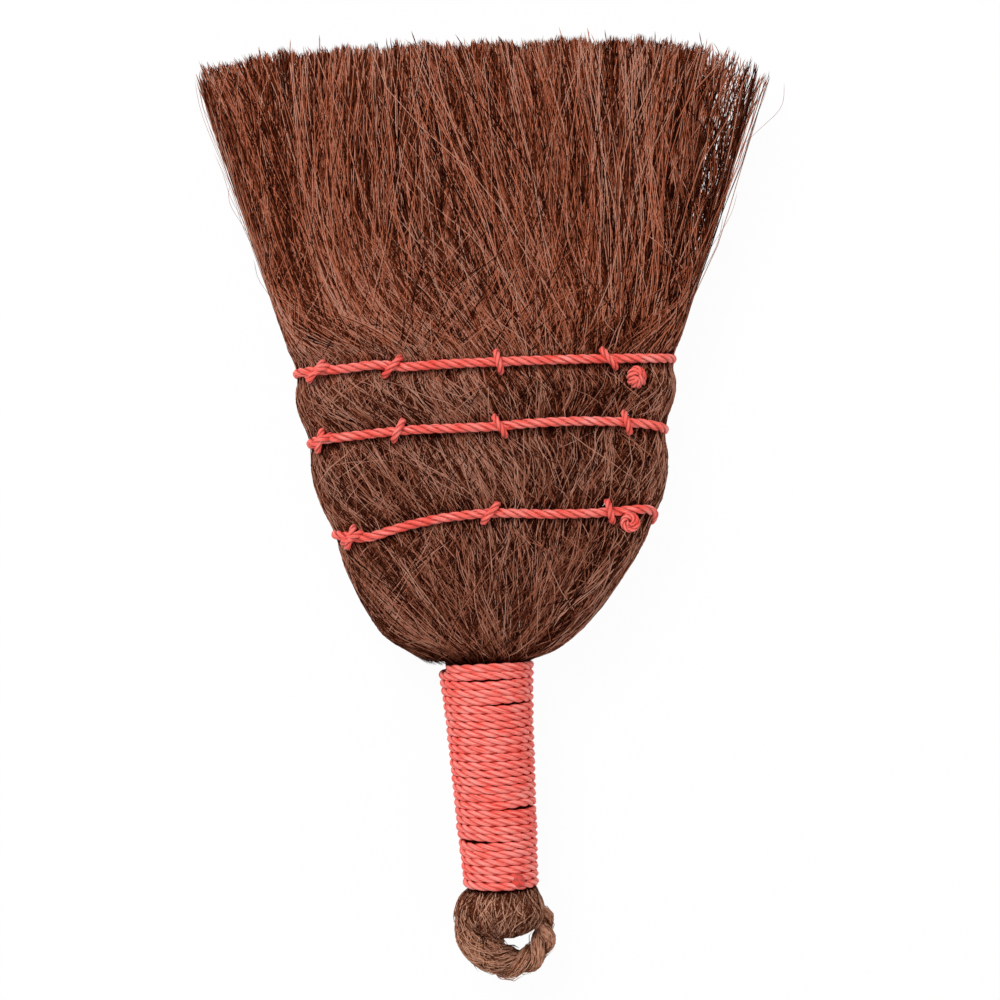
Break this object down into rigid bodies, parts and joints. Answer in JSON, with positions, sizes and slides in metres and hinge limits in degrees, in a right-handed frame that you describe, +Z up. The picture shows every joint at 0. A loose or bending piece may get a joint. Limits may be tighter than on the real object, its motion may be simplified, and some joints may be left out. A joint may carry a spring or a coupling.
{
  "type": "hand broom",
  "caption": "Flat hand broom of palm fibre: flared bristles, a head sewn flat with twisted cord, a cord-wound handle and a twisted hanging loop.",
  "frame": {"origin": "on the plane the broom lies on, under the middle of its overall length and width", "axes": "+Y from the hanging loop towards the bristle tips, +X to the right seen from the front, +Z up out of the front face"},
  "size_m": [0.1829, 0.2979, 0.0355],
  "materials": {
    "palm_fibre": "dry reddish-brown fibre",
    "fibre_mat": "matted reddish-brown fibre",
    "coral_cord": "twisted three-strand cord, slight sheen",
    "fibre_rope": "hand-twisted fibre rope"
  },
  "bodies": {
    "sewn_head": {"front_cover": "fibre_mat", "back_cover": "fibre_mat", "left_outer_bundle": "palm_fibre", "left_inner_bundle": "palm_fibre", "centre_bundle": "palm_fibre", "right_inner_bundle": "palm_fibre", "right_outer_bundle": "palm_fibre", "upper_row_cord": "coral_cord", "middle_row_cord": "coral_cord", "lower_row_cord": "coral_cord", "upper_row_ties": "coral_cord", "middle_row_ties": "coral_cord", "lower_row_ties": "coral_cord", "upper_stopper_knot": "coral_cord", "lower_stopper_knot": "coral_cord", "handle_winding": "coral_cord", "winding_seal": "coral_cord", "pommel": "fibre_mat"},
    "bristles": {"left_outer_bristles": "palm_fibre", "left_inner_bristles": "palm_fibre", "centre_bristles": "palm_fibre", "right_inner_bristles": "palm_fibre", "right_outer_bristles": "palm_fibre"},
    "hanging_loop": {"front_loop_strand": "fibre_rope", "back_loop_strand": "fibre_rope"}
  },
  "joints": [
    {"name": "bristle_flex", "type": "hinge", "parent": "sewn_head", "child": "bristles", "pos_m": [0.00056, 0.05243, 0.0175], "axis": [0.9992, 0.0401, 0], "range_deg": [-20, 20], "stiffness_Nm_per_rad": 3},
    {"name": "loop_swing", "type": "hinge", "parent": "sewn_head", "child": "hanging_loop", "pos_m": [-0.00016, -0.13082, 0.0175], "axis": [0.9963, 0.0854, 0], "range_deg": [-30, 30], "stiffness_Nm_per_rad": 0.02}
  ]
}
